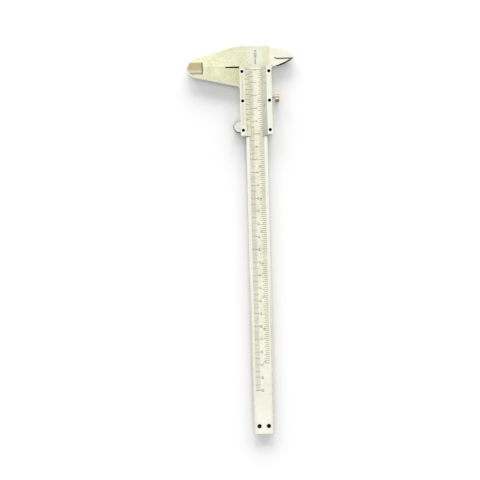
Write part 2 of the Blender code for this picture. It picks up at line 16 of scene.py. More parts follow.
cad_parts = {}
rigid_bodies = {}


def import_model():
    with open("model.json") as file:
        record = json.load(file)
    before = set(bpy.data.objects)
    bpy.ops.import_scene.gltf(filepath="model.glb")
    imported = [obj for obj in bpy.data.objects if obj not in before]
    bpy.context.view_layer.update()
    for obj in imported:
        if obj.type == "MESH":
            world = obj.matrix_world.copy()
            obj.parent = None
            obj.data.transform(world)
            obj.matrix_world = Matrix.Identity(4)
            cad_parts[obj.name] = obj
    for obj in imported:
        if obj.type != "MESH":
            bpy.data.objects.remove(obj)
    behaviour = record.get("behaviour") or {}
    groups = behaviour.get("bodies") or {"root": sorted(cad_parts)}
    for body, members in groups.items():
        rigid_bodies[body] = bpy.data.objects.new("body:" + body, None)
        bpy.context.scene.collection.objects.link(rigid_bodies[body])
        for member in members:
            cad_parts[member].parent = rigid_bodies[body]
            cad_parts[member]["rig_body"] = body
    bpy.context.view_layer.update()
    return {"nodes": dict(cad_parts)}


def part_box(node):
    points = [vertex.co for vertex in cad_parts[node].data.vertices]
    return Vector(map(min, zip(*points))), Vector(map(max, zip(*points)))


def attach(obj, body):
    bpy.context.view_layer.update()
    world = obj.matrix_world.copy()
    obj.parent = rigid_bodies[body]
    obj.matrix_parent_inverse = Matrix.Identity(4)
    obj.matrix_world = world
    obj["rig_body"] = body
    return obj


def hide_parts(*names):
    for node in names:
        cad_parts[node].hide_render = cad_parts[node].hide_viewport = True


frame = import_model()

MM = 0.001
HEAD_ABOVE_ZERO = 18.6

END_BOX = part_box("end_plate")
BEAM_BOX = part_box("main_beam")
ZERO_X = (END_BOX[0].x + END_BOX[1].x) / 2
ZERO_Y = BEAM_BOX[1].y - HEAD_ABOVE_ZERO * MM


def layout(point):
    """A point of the frame in the layout's millimetres."""
    return Vector(((point.x - ZERO_X) / MM, (point.y - ZERO_Y) / MM, point.z / MM))


def at(x, y, z):
    """A point of the layout in the frame's metres."""
    return Vector((ZERO_X + x * MM, ZERO_Y + y * MM, z * MM))


def layout_box(node):
    """A CAD node's lowest and highest corner, in the layout's millimetres."""
    low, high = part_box(node)
    return layout(low), layout(high)


BEAM_TOP = layout_box("main_beam")[1].z


# Jaws and blades
SEAM_Y = 2.7
NIB_X = -40.6
NIB_RUNOUT = 0.9
SLIT_X = (-23.3, -12.4)
SLIT_DEPTHS = {1: 0.15, -1: 0.72}
SLIT_FLARE = 0.25
# Heights of the dark webs that paint shade into the bottom of the slit.
SLIT_SHADE_WEB = (2.0, 2.4)
BLADE_START_X = 11.5
BLADE_MEASURING_Y = 9.4
BLADE_CHAMFER = 0.7
BLADE_CHAMFER_X = 17.0
RELIEF_HOLE = (16.0, 9.4)
RELIEF_RADIUS = 0.9
RELIEF_FLARE = 0.3
VERNIER_END_Y = -51.8
JAW_MIDDLE_Z = 5.3
VERNIER_END_SLANT = 0.25
BAND_HALF_WIDTH = 5.9
BAND_DEPTH = 0.12
BAND_TINT_Y = 2.0

# Graduations
TICK_WIDTH = 0.2
TICK_HEIGHT = 0.02
TICK_LIFT = 0.01
METRIC_LENGTH = 250
METRIC_TICK_START = -5.7
METRIC_TICK_ENDS = (-2.15, -1.75, -1.35)
METRIC_TICK_WIDTHS = (0.17, 0.3, 0.34)
METRIC_NUMERAL_X = -0.3
METRIC_NUMERAL_SIZE = 2.3
INCH = 25.4
INCH_LENGTH = 9
INCH_TICK_START = 5.6
INCH_TICK_WIDTH = 0.27
INCH_TICK_ENDS = (2.7, 1.9, 1.6, 0.9)
INCH_NUMERAL_X = 1.9
INCH_NUMERAL_SIZE = 2.6
INCH_NUMERAL_DROP = 1.3
METRIC_VERNIER_SPAN = 39.0
INCH_VERNIER_SPAN = 11.1125
VERNIER_TICK_LONG = 2.3
VERNIER_TICK_SHORT = 1.5
VERNIER_TICK_INSET = 0.1
RAIL_INNER_X = 8.4
RAIL_CORNER_Y = -50.0
SLOPE_OUTER_TOP = 7.6
SLOPE_INNER_TOP = 5.95
VERNIER_LOW = 5.55

# Bright rings round the cover screws
COVER_SCREW_X = 10.4
COVER_SCREW_YS = (-2.05, -24.8, -47.55)
COVER_RING_REACH = 2.3
RAIL_TOP = 8.0

# Thumb wheel
WHEEL_UNDERSIZE = 0.2
WHEEL_BORE = 1.08
WHEEL_SCALLOPS = 40
WHEEL_SCALLOP_DEPTH = 0.3

# Lock knob
KNOB_START_X = 15.1
KNOB_SCALLOPS = 9
KNOB_SCALLOP_DEPTH = 0.6
KNOB_PHASE = 4.4
KNOB_RINGS = 7
STEM_RADIUS = 0.72
THREAD_DEPTH = 0.1
THREAD_TURNS = 14

# Camera and light
VIEW_CENTRE = (-15.2, -132.3)
VIEW_DISTANCE = 320.0
LENS = 30.8
SENSOR = 36.0
ROLL = -0.0255
SKY_HORIZON = 0.8
SKY_ZENITH = 1.03
SKY_LEAN = -0.4
KEY_STRENGTH = 8.9
KEY_ELEVATION = 14.5
KEY_SPREAD = 24.0
KEY_FAN = ((-30, 0.27), (0, 0.46), (30, 0.27))


# ---------------------------------------------------------------- materials


def new_material(name):
    material = bpy.data.materials.new(name)
    material.use_nodes = True
    return material, material.node_tree.nodes, material.node_tree.links


def place_mm(nodes, links, stretch=(1.0, 1.0, 1.0)):
    """The surface point in the layout's millimetres, with each axis multiplied by its stretch."""
    coordinates = nodes.new("ShaderNodeTexCoord")
    shift = nodes.new("ShaderNodeVectorMath")
    shift.operation = "SUBTRACT"
    shift.inputs[1].default_value = (ZERO_X, ZERO_Y, 0.0)
    links.new(coordinates.outputs["Object"], shift.inputs[0])
    scale = nodes.new("ShaderNodeVectorMath")
    scale.operation = "MULTIPLY"
    scale.inputs[1].default_value = [share / MM for share in stretch]
    links.new(shift.outputs[0], scale.inputs[0])
    return scale.outputs[0]


def noise(nodes, links, place, scale, detail=3.0, roughness=0.55):
    texture = nodes.new("ShaderNodeTexNoise")
    texture.inputs["Scale"].default_value = scale
    texture.inputs["Detail"].default_value = detail
    texture.inputs["Roughness"].default_value = roughness
    links.new(place, texture.inputs["Vector"])
    return texture.outputs["Fac"]


def math_node(nodes, links, operation, *values):
    """A math node whose inputs are numbers or sockets."""
    node = nodes.new("ShaderNodeMath")
    node.operation = operation
    for socket, value in zip(node.inputs, values):
        if isinstance(value, (int, float)):
            socket.default_value = value
        else:
            links.new(value, socket)
    return node.outputs[0]


def map_range(nodes, links, value, low, high, to_low=0.0, to_high=1.0):
    node = nodes.new("ShaderNodeMapRange")
    node.inputs["From Min"].default_value = low
    node.inputs["From Max"].default_value = high
    node.inputs["To Min"].default_value = to_low
    node.inputs["To Max"].default_value = to_high
    links.new(value, node.inputs["Value"])
    return node.outputs["Result"]


def mix_colour(nodes, links, factor, first, second):
    """Blends two colours, given as linear RGB or as sockets."""
    node = nodes.new("ShaderNodeMix")
    node.data_type = "RGBA"
    links.new(factor, node.inputs["Factor"])
    for socket, colour in ((node.inputs["A"], first), (node.inputs["B"], second)):
        if isinstance(colour, tuple):
            socket.default_value = (*colour, 1.0)
        else:
            links.new(colour, socket)
    return node.outputs["Result"]


def linear(red, green, blue):
    """An 8-bit display colour as linear RGB."""
    shares = []
    for value in (red, green, blue):
        share = value / 255
        shares.append(share / 12.92 if share <= 0.04045 else ((share + 0.055) / 1.055) ** 2.4)
    return tuple(shares)


def metal(name, light, dark, roughness, metallic=0.9, grain=0.7, contrast=1.0, brushed=None):
    """Metal that wanders between a light and a dark tone in blotches, grain and fine specks.

    brushed is a stretch for each axis, smallest along the brush lines.
    """
    material, nodes, links = new_material(name)
    shader = nodes["Principled BSDF"]
    place = place_mm(nodes, links)
    blotch = noise(nodes, links, place, 0.09, 2.0)
    middle = noise(nodes, links, place, grain, 4.0, 0.6)
    speck_place = place_mm(nodes, links, brushed) if brushed else place
    specks = noise(nodes, links, speck_place, 3.5, 3.0, 0.7)
    blend = math_node(nodes, links, "MULTIPLY", blotch, 0.35)
    blend = math_node(nodes, links, "MULTIPLY_ADD", middle, 0.4, blend)
    blend = math_node(nodes, links, "MULTIPLY_ADD", specks, 0.25, blend)
    half = 0.16 / contrast
    factor = map_range(nodes, links, blend, 0.5 - half, 0.5 + half)
    colour = mix_colour(nodes, links, factor, dark, light)
    links.new(colour, shader.inputs["Base Color"])
    rough = map_range(nodes, links, blend, 0.3, 0.7, roughness + 0.08, roughness - 0.06)
    links.new(rough, shader.inputs["Roughness"])
    shader.inputs["Metallic"].default_value = metallic
    relief = nodes.new("ShaderNodeBump")
    relief.inputs["Strength"].default_value = 0.15
    relief.inputs["Distance"].default_value = 0.03 * MM
    links.new(specks, relief.inputs["Height"])
    links.new(relief.outputs["Normal"], shader.inputs["Normal"])
    return material


def opened(material):
    """The material's nodes, its links, its shader's colour input and what feeds that input."""
    nodes = material.node_tree.nodes
    colour = nodes["Principled BSDF"].inputs["Base Color"]
    return nodes, material.node_tree.links, colour, colour.links[0].from_socket


def axis_mm(nodes, links, axis):
    split = nodes.new("ShaderNodeSeparateXYZ")
    links.new(place_mm(nodes, links), split.inputs[0])
    return split.outputs[axis]


def along(nodes, links, axis, stops):
    """A value that follows a layout axis through the stops, which are (place, value)."""
    place = axis_mm(nodes, links, axis)
    total = math_node(nodes, links, "ADD", stops[0][1], 0.0)
    for (start, before), (end, after) in zip(stops, stops[1:]):
        rise = map_range(nodes, links, place, start, end, 0.0, after - before)
        total = math_node(nodes, links, "ADD", total, rise)
    return total


def graded(material, axis, *stops):
    """Brightens or dims the colour along a layout axis; stops are (place, gain)."""
    nodes, links, colour, base = opened(material)
    scale = nodes.new("ShaderNodeVectorMath")
    scale.operation = "SCALE"
    links.new(base, scale.inputs[0])
    links.new(along(nodes, links, axis, stops), scale.inputs["Scale"])
    links.new(scale.outputs[0], colour)


def tinted(material, tint, axis, *stops):
    """Blends towards a tint along a layout axis; stops are (place, share)."""
    nodes, links, colour, base = opened(material)
    links.new(mix_colour(nodes, links, along(nodes, links, axis, stops), base, tint), colour)


def ringed(material, tint, places, inner, outer):
    """Blends towards a tint round each place: fully up to the inner radius, less up to the outer."""
    nodes, links, colour, base = opened(material)
    here = place_mm(nodes, links)
    nearest = None
    for place in places:
        away = nodes.new("ShaderNodeVectorMath")
        away.operation = "DISTANCE"
        away.inputs[1].default_value = place
        links.new(here, away.inputs[0])
        reach = away.outputs["Value"]
        nearest = math_node(nodes, links, "MINIMUM", nearest, reach) if nearest else reach
    share = map_range(nodes, links, nearest, inner, outer, 1.0, 0.0)
    links.new(mix_colour(nodes, links, share, base, tint), colour)


def streaked(material, tint, centre, half_width, *stops):
    """A soft patchy streak of a tint down the X of its centre; stops are (Y place, strength)."""
    nodes, links, colour, base = opened(material)
    away = math_node(nodes, links, "SUBTRACT", axis_mm(nodes, links, "X"), centre)
    away = math_node(nodes, links, "ABSOLUTE", away)
    near = map_range(nodes, links, away, half_width, 0.0, 0.0, 1.0)
    near = math_node(nodes, links, "MULTIPLY", near, along(nodes, links, "Y", stops))
    patches = noise(nodes, links, place_mm(nodes, links), 0.25)
    patches = map_range(nodes, links, patches, 0.3, 0.6, 0.4, 1.0)
    near = math_node(nodes, links, "MULTIPLY", near, patches)
    links.new(mix_colour(nodes, links, near, base, tint), colour)


ALONG_BEAM = (3, 0.05, 3)
PINKISH = linear(204, 186, 172)

SATIN = metal("satin_steel", linear(252, 252, 226), linear(226, 226, 178), 0.40, contrast=1.6)
# Painted light: brighter towards the outside jaws' tips, dimmer across the beam and slider.
graded(SATIN, "X", (-54, 1.10), (-34, 1.02), (-12, 0.915), (12, 0.92))
JAW_LOW = metal("satin_steel_moving", linear(250, 248, 218), linear(218, 215, 170), 0.42,
                contrast=1.6)
# Painted light: the moving jaw brightens towards its tip and dims towards its root.
graded(JAW_LOW, "X", (-54, 1.03), (-30, 0.925), (-13, 0.855))
BAND = metal("scale_band", linear(244, 243, 224), linear(216, 215, 190), 0.45, 0.8, 0.9, 1.3)
# Painted light along the band: lighter towards the head and towards the beam's far end, dimmer
# between.
graded(BAND, "Y", (-270, 0.89), (-215, 0.95), (-110, 0.945), (-45, 0.965), (0, 1.045))
tinted(BAND, linear(244, 243, 234), "Y", (-270, 0.6), (-215, 0.1))
HEAD_BAND = metal("head_band", linear(241, 242, 226), linear(214, 215, 194), 0.42, 0.85, 0.9, 1.2)
STRIP = metal("ground_strip", linear(255, 254, 242), linear(240, 240, 226), 0.30, 1.0,
              brushed=ALONG_BEAM)
# Painted reflection: the strips dim towards the beam's end, where they mirror the grey shade beside
# the beam.
tinted(STRIP, linear(236, 234, 220), "Y", (-240, 0.8), (-165, 0.5), (-120, 0.45), (-60, 0.0))
streaked(STRIP, PINKISH, 7.3, 0.8, (-200, 0.9), (-150, 0.0))
streaked(STRIP, PINKISH, -7.9, 0.9, (-200, 0.9), (-150, 0.0))
RAIL_LEFT = metal("rail_left", linear(251, 249, 233), linear(236, 232, 212), 0.34, 1.0,
                  brushed=ALONG_BEAM)
streaked(RAIL_LEFT, linear(196, 172, 150), -10.3, 0.9,
         (-50, 0.0), (-42, 0.35), (-6, 0.85), (0, 0.0))
RAIL_RIGHT = metal("rail_right", linear(252, 252, 238), linear(238, 238, 220), 0.34, 1.0,
                   brushed=ALONG_BEAM)
# Each rail is tinted near white in a ring round each cover screw.
for rail, side in ((RAIL_LEFT, -1), (RAIL_RIGHT, 1)):
    places = [(side * COVER_SCREW_X, y, RAIL_TOP) for y in COVER_SCREW_YS]
    ringed(rail, linear(255, 255, 250), places, COVER_RING_REACH - 0.5, COVER_RING_REACH)
SLOPE_LEFT = metal("metric_slope", linear(242, 237, 212), linear(212, 206, 180), 0.45, 0.8, 1.1)
SLOPE_RIGHT = metal("inch_slope", linear(212, 215, 196), linear(190, 194, 174), 0.45, 0.8, 0.8)
# Painted shade: the inch vernier's slope darkens towards the slider's lower end.
graded(SLOPE_RIGHT, "Y", (-52, 0.76), (-48, 0.82), (-30, 0.95), (-5, 1.06))
WALL = metal("ground_wall", linear(255, 254, 238), linear(240, 237, 214), 0.4, 0.2,
             brushed=(0.2, 0.2, 4))
# Painted shade: a near-black tone for walls that sit in shade, under the inside blades, round the
# relief hole, at the nib's runout, at the inch vernier's end and in the wheel's scallop valleys.
PAINTED_SHADE = metal("painted_shade", linear(40, 38, 32), linear(16, 15, 12), 0.45, 1.0)
# Painted deep shade: an almost black tone for the relief slit's walls and webs and for the metric
# vernier's end wall.
DEEP_SHADE = metal("painted_deep_shade", linear(28, 27, 19), linear(13, 12, 8), 0.6, 0.5)
# Rounded edges: a bright tone that paints a highlight along each edge, with some edge wear.
EDGE_SHEEN_AND_WEAR = metal("edge_sheen_and_wear", linear(255, 254, 246), linear(244, 242, 228), 0.28, 1.0)
BEAM_EDGE_SHEEN_AND_WEAR = metal("beam_edge_sheen_and_wear", linear(255, 254, 244), linear(240, 237, 222), 0.30, 1.0)
tinted(BEAM_EDGE_SHEEN_AND_WEAR, PINKISH, "Y", (-220, 0.75), (-150, 0.0))
# The nib's two facets: a shaded and a lit copy of the same ground steel, painted for how the light
# falls on their opposite slopes.
NIB_SHADED = metal("nib_facet_shaded", linear(222, 208, 164), linear(184, 168, 122), 0.36, 0.95,
                 brushed=(4, 0.1, 4))
NIB_LIT = metal("nib_facet_lit", linear(244, 238, 208), linear(214, 206, 170), 0.34, 0.95,
                  brushed=(4, 0.1, 4))
# Painted shade: both facets darken towards the nib's end wall.
for facet in (NIB_SHADED, NIB_LIT):
    graded(facet, "X", (NIB_X - 1.8, 1.0), (NIB_X - 1.0, 0.5))
# Painted shade along both edges of the fixed facet and towards the lower edge of the moving facet.
graded(NIB_SHADED, "Y", (2.7, 0.78), (3.5, 0.91), (6.6, 0.91), (7.1, 0.78))
graded(NIB_LIT, "Y", (-1.4, 0.58), (-0.8, 0.75), (-0.2, 1.08), (2.6, 1.12))
BLADE = metal("blade_face", linear(255, 254, 240), linear(240, 238, 218), 0.34, 0.95)
# Painted reflection: the blades' bevels are toned dark for the dark surroundings they mirror.
BEVEL = metal("blade_bevel_painted_shade", linear(150, 150, 134), linear(84, 84, 72), 0.34, 0.95,
              brushed=(0.3, 4, 4))
GREY = metal("grey_steel", linear(196, 196, 188), linear(140, 140, 132), 0.36, 0.95)
WHEEL_FACE = metal("wheel_face", linear(250, 250, 246), linear(216, 216, 210), 0.24, 1.0)
KNURL = metal("wheel_knurl", linear(110, 110, 102), linear(46, 46, 42), 0.38, 0.95)
BRASS = metal("knob_brass", linear(252, 246, 222), linear(226, 210, 168), 0.22, 0.7)
# Painted shade: the knob darkens sharply on its side towards -Y, away from the key light.
graded(BRASS, "Y", (-24.9, 0.2), (-23.9, 0.3), (-23.5, 0.92), (-20.0, 0.97))
# Painted shade in the knob's scallop valleys, darker still towards -Y.
BRASS_VALLEY_SHADE = metal("brass_valley_shade", linear(190, 172, 130), linear(140, 124, 86), 0.4, 0.8)
graded(BRASS_VALLEY_SHADE, "Y", (-24.6, 0.4), (-23.5, 0.6), (-22.0, 1.0))
BLACK = metal("black_oxide", linear(26, 24, 23), linear(8, 8, 8), 0.42, 1.0)
BLACK_EDGE = metal("worn_oxide", linear(74, 72, 70), linear(22, 21, 20), 0.3, 1.0)
INK = metal("scale_ink", linear(92, 82, 72), linear(46, 40, 34), 0.6, 0.2, 1.2)
BROWN_INK = metal("vernier_ink", linear(134, 114, 92), linear(84, 68, 52), 0.6, 0.2, 1.2)
FAINT_INK = metal("faint_ink", linear(150, 142, 124), linear(96, 90, 76), 0.6, 0.2, 1.2)


# ---------------------------------------------------------------- pieces


def add_piece(name, mesh, materials, body):
    obj = bpy.data.objects.new(name, mesh)
    for material in materials:
        mesh.materials.append(material)
    bpy.context.scene.collection.objects.link(obj)
    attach(obj, body)
    return obj


def in_slit(centre):
    across = -SLIT_DEPTHS[-1] - 0.15 < centre.y - SEAM_Y < SLIT_DEPTHS[1] + 0.15
    return SLIT_X[0] - 0.2 < centre.x < SLIT_X[1] + 0.2 and across


def from_relief(centre):
    """How far a place is from the middle of the inside jaws' relief hole."""
    return math.hypot(centre.x - RELIEF_HOLE[0], centre.y - RELIEF_HOLE[1])


def keeps_sharp(centre):
    """Whether an edge stays crisp: the slit's, the band's, the rails' ends' and under the blade."""
    under_blade = centre.x > BLADE_START_X + 2 and centre.y < BLADE_MEASURING_Y + 0.1
    band_edge = abs(abs(centre.x) - BAND_HALF_WIDTH) < 0.05 and centre.z > BEAM_TOP - 0.2
    rail_corner = abs(abs(centre.x) - RAIL_INNER_X) < 0.15 and centre.y < RAIL_CORNER_Y
    return in_slit(centre) or under_blade or band_edge or rail_corner


def weigh_edges(shell):
    """Marks the sharp edges that a bevel rounds."""
    weight = shell.edges.layers.float.new("bevel_weight_edge")
    for edge in shell.edges:
        if len(edge.link_faces) != 2 or edge.calc_face_angle(0.0) < math.radians(30):
            continue
        centre = layout((edge.verts[0].co + edge.verts[1].co) / 2)
        edge[weight] = 0.0 if keeps_sharp(centre) else 1.0
        edge.smooth = not keeps_sharp(centre)


def bevel_edges(obj, width, rim_index):
    """Rounds the marked edges, and gives the rounding the rim's material."""
    modifier = obj.modifiers.new("Rounded edges", "BEVEL")
    modifier.width = width * MM
    modifier.segments = 2
    modifier.limit_method = "WEIGHT"
    modifier.use_clamp_overlap = False
    modifier.material = rim_index
    weighted = obj.modifiers.new("Flat face normals", "WEIGHTED_NORMAL")
    weighted.mode = "FACE_AREA"
    weighted.weight = 100
    weighted.keep_sharp = True


def refined(name, node, materials, region, splits=(), width=0.12, reshape=None):
    """A finished copy of a CAD node, with clean faces, rounded edges and a material in each region.

    region gives a face's material index from its centre and normal in the layout. The last
    material is the rounded edges'. splits are (axis, place) cuts that region borders need, and
    reshape moves points of the bare copy.
    """
    source = frame["nodes"][node]
    shell = bmesh.new()
    shell.from_mesh(source.data)
    bmesh.ops.remove_doubles(shell, verts=shell.verts, dist=2e-6)
    bmesh.ops.dissolve_limit(shell, angle_limit=math.radians(0.5), verts=shell.verts,
                             edges=shell.edges)
    for axis, place in splits:
        corner = at(*[place if i == axis else 0.0 for i in range(3)])
        normal = [1.0 if i == axis else 0.0 for i in range(3)]
        geometry = list(shell.verts) + list(shell.edges) + list(shell.faces)
        bmesh.ops.bisect_plane(shell, geom=geometry, dist=1e-7, plane_co=corner, plane_no=normal)
    if reshape:
        for vertex in shell.verts:
            moved = reshape(layout(vertex.co))
            vertex.co = at(*moved)
        shell.normal_update()
    for face in shell.faces:
        face.material_index = region(layout(face.calc_center_median()), face.normal)
        face.smooth = True
    weigh_edges(shell)
    mesh = bpy.data.meshes.new(name)
    shell.to_mesh(mesh)
    shell.free()
    obj = add_piece(name, mesh, materials, source["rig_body"])
    bevel_edges(obj, width, len(materials) - 1)
    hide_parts(node)


def one_region(centre, normal):
    return 0


def knurled_turning(name, profile, teeth, depth, place, axis, materials, body, detail=6,
                    phase=0.0, bored=False):
    """A turned piece with scallops round its rim, on an axis along layout X or Z.

    The profile runs from one end of the axis to the other as (radius, height, share, material
    index), where share is how deep the scallops cut there. The last material fills the scallops'
    valleys. A bored piece has a wall between its last ring and its first; any other has flat ends.
    """
    steps = teeth * detail
    shell = bmesh.new()
    rings = []
    for radius, height, share, _ in profile:
        ring = []
        for i in range(steps):
            angle = 2 * math.pi * i / steps + phase
            dip = 0.5 - 0.5 * math.cos(2 * math.pi * i / detail)
            reach = radius - depth * share * dip
            across, up = reach * math.cos(angle), reach * math.sin(angle)
            offset = Vector((across, up, height)) if axis == "Z" else Vector((height, across, up))
            ring.append(shell.verts.new(at(*(Vector(place) + offset))))
        rings.append(ring)
    for number in range(len(rings) if bored else len(rings) - 1):
        following = (number + 1) % len(rings)
        for i in range(steps):
            after = (i + 1) % steps
            corners = (rings[number][i], rings[number][after], rings[following][after],
                       rings[following][i])
            face = shell.faces.new(corners)
            share = min(profile[number][2], profile[following][2])
            # Valley faces take the last material, which paints shade into the scallops.
            in_valley = share > 0.3 and 0.3 < ((i + 0.5) % detail) / detail < 0.7
            face.material_index = len(materials) - 1 if in_valley else profile[number][3]
    for number in () if bored else (0, -1):
        face = shell.faces.new(rings[number])
        face.material_index = profile[number][3]
    bmesh.ops.recalc_face_normals(shell, faces=shell.faces)
    for face in shell.faces:
        face.smooth = True
    mesh = bpy.data.meshes.new(name)
    shell.to_mesh(mesh)
    shell.free()
    mesh.set_sharp_from_angle(angle=math.radians(40))
    return add_piece(name, mesh, materials, body)


# ---------------------------------------------------------------- graduations


def face_frame(origin, across):
    """The matrix of a face whose own x runs along across and whose y is the layout's Y."""
    x_axis = Vector(across).normalized()
    y_axis = Vector((0.0, 1.0, 0.0))
    z_axis = x_axis.cross(y_axis)
    turn = Matrix((x_axis, y_axis, z_axis)).transposed().to_4x4()
    lifted = Vector(origin) + z_axis * TICK_LIFT
    return Matrix.Translation(at(*lifted)) @ turn @ Matrix.Scale(MM, 4)


def add_tick(shell, face, x0, x1, y, width=TICK_WIDTH):
    """A filled graduation line as a thin closed bar lying on the face."""
    size = Vector((abs(x1 - x0), width, TICK_HEIGHT))
    middle = Vector(((x0 + x1) / 2, y, TICK_HEIGHT / 2))
    matrix = face @ Matrix.Translation(middle) @ Matrix.Diagonal((*size, 1.0))
    bmesh.ops.create_cube(shell, size=1.0, matrix=matrix)


def add_text(shell, face, text, size, x, y):
    """Raised lettering on the face that reads towards -Y, with its top towards +X."""
    curve = bpy.data.curves.new("lettering", "FONT")
    curve.body = text
    curve.size = size
    curve.extrude = TICK_HEIGHT / 2
    curve.offset = 0.02
    curve.align_x = "CENTER"
    curve.align_y = "CENTER"
    curve.resolution_u = 3
    holder = bpy.data.objects.new("lettering", curve)
    bpy.context.scene.collection.objects.link(holder)
    graph = bpy.context.evaluated_depsgraph_get()
    mesh = bpy.data.meshes.new_from_object(holder.evaluated_get(graph))
    place = Matrix.Translation((x, y, TICK_HEIGHT / 2))
    mesh.transform(face @ place @ Matrix.Rotation(math.radians(-90), 4, "Z"))
    shell.from_mesh(mesh)
    bpy.data.objects.remove(holder)
    bpy.data.curves.remove(curve)
    bpy.data.meshes.remove(mesh)


def graduation(name, build, material, body):
    """A piece made of the ticks and numerals that build adds to a shell."""
    shell = bmesh.new()
    build(shell)
    mesh = bpy.data.meshes.new(name)
    shell.to_mesh(mesh)
    shell.free()
    add_piece(name, mesh, [material], body)


BAND_FACE = face_frame((0.0, 0.0, BEAM_TOP - BAND_DEPTH), (1, 0, 0))
METRIC_INNER_X = layout_box("metric_vernier_plate")[1].x
INCH_INNER_X = layout_box("inch_vernier_plate")[0].x
SLOPE_DROP = SLOPE_OUTER_TOP - SLOPE_INNER_TOP
METRIC_SLOPE_WIDTH = math.hypot(RAIL_INNER_X + METRIC_INNER_X, SLOPE_DROP)
METRIC_FACE = face_frame((-RAIL_INNER_X, 0.0, SLOPE_OUTER_TOP),
                         (RAIL_INNER_X + METRIC_INNER_X, 0.0, -SLOPE_DROP))
INCH_FACE = face_frame((INCH_INNER_X, 0.0, SLOPE_INNER_TOP),
                       (RAIL_INNER_X - INCH_INNER_X, 0.0, SLOPE_DROP))


def metric_scale(shell):
    """Millimetre lines with longer ones each 5 and 10 mm, and a numeral at each centimetre."""
    for mark in range(METRIC_LENGTH + 1):
        kind = 2 if mark % 10 == 0 else 1 if mark % 5 == 0 else 0
        add_tick(shell, BAND_FACE, METRIC_TICK_START, METRIC_TICK_ENDS[kind], -mark,
                 METRIC_TICK_WIDTHS[kind])
        if kind == 2:
            add_text(shell, BAND_FACE, str(mark // 10), METRIC_NUMERAL_SIZE, METRIC_NUMERAL_X, -mark)


def inch_scale(shell):
    """Lines each sixteenth of an inch, longer at eighths, quarters and inches, with numerals."""
    for mark in range(INCH_LENGTH * 16 + 1):
        kind = 3 if mark % 16 == 0 else 2 if mark % 4 == 0 else 1 if mark % 2 == 0 else 0
        y = -mark * INCH / 16
        add_tick(shell, BAND_FACE, INCH_TICK_ENDS[kind], INCH_TICK_START, y, INCH_TICK_WIDTH)
        if kind == 3 and mark:
            add_text(shell, BAND_FACE, str(mark // 16), INCH_NUMERAL_SIZE, INCH_NUMERAL_X,
                     y + INCH_NUMERAL_DROP)


def metric_vernier(shell):
    """Twenty divisions over 39 mm, numbered 0 to 10 at each second line."""
    edge = METRIC_SLOPE_WIDTH - VERNIER_TICK_INSET
    for mark in range(21):
        y = -mark * METRIC_VERNIER_SPAN / 20
        start = edge - (VERNIER_TICK_LONG if mark % 2 == 0 else VERNIER_TICK_SHORT)
        add_tick(shell, METRIC_FACE, start, edge, y)
        if mark % 2 == 0:
            add_text(shell, METRIC_FACE, str(mark // 2), 1.7, 1.05, y)
    add_text(shell, METRIC_FACE, "0.05 mm", 1.4, 1.6, -45.4)


def inch_vernier(shell):
    """Eight divisions over seven sixteenths of an inch, numbered 0, 4 and 8."""
    for mark in range(9):
        y = -mark * INCH_VERNIER_SPAN / 8
        end = VERNIER_TICK_LONG if mark % 4 == 0 else VERNIER_TICK_SHORT
        add_tick(shell, INCH_FACE, VERNIER_TICK_INSET, end, y)
        if mark % 4 == 0:
            add_text(shell, INCH_FACE, str(mark), 1.6, 3.2, y)
    add_text(shell, INCH_FACE, "1/128 in", 1.9, 2.1, -27.5)


def head_lettering(shell):
    """The graduated range, on the head."""
    add_text(shell, BAND_FACE, "0-250 mm", 2.6, 0.2, 10.0)


# ---------------------------------------------------------------- assembly


def beam_region(centre, normal):
    """The index in the beam's material list."""
    # The nib's facet takes the shaded facet tone, and its sloped runout painted shade.
    if centre.x < NIB_X + 0.01 and abs(normal.z) > 0.3:
        return 3 if centre.x < NIB_X - NIB_RUNOUT else 8
    # The slit's walls take painted deep shade.
    if in_slit(centre) and abs(normal.z) < 0.98:
        return 6
    if abs(abs(centre.x) - BAND_HALF_WIDTH) < 0.05 and abs(normal.x) > 0.5:
        return 2 if centre.y < BAND_TINT_Y else 0
    if abs(normal.z) < 0.5:
        # Walls under the fixed blade and round the relief hole take painted shade.
        dark = centre.x > BLADE_CHAMFER_X and centre.y < BLADE_MEASURING_Y
        return 8 if dark or from_relief(centre) < RELIEF_RADIUS + 0.3 else 5
    if centre.x > BLADE_START_X:
        # Faces turned towards -Y, and the relief hole's sloped flare, take painted shade.
        if normal.y < -0.1 or (abs(normal.z) < 0.98 and from_relief(centre) < RELIEF_RADIUS + 0.5):
            return 8
        return 4 if abs(normal.z) < 0.97 else 7
    if abs(centre.x) < BAND_HALF_WIDTH and normal.z > 0.5:
        return 1 if centre.y < BAND_TINT_Y else 9
    if centre.y < BAND_TINT_Y and abs(centre.x) < 8.3:
        return 2
    return 0


def jaw_region(centre, normal):
    """The index in the moving outside jaw's material list."""
    # The nib's facet takes the lit facet tone, and its sloped runout painted shade.
    if centre.x < NIB_X + 0.01 and abs(normal.z) > 0.3:
        return 1 if centre.x < NIB_X - NIB_RUNOUT else 4
    # The slit's walls take painted deep shade.
    if in_slit(centre) and abs(normal.z) < 0.98:
        return 3
    return 2 if abs(normal.z) < 0.5 else 0


def jaw_shape(point):
    """Slopes the nib's end wall by drawing its lower points out, and flares the slit's mouth."""
    if abs(point.x - NIB_X) < 0.02 and point.z < JAW_MIDDLE_Z:
        return (point.x - NIB_RUNOUT, point.y, point.z)
    beyond = SEAM_Y - SLIT_DEPTHS[-1] - point.y
    along_slit = SLIT_X[0] - 0.1 < point.x < SLIT_X[1] + 0.1
    if along_slit and point.z > JAW_MIDDLE_Z and -0.02 < beyond < 0.1:
        return (point.x, point.y - SLIT_FLARE, point.z)
    return (point.x, point.y, point.z)


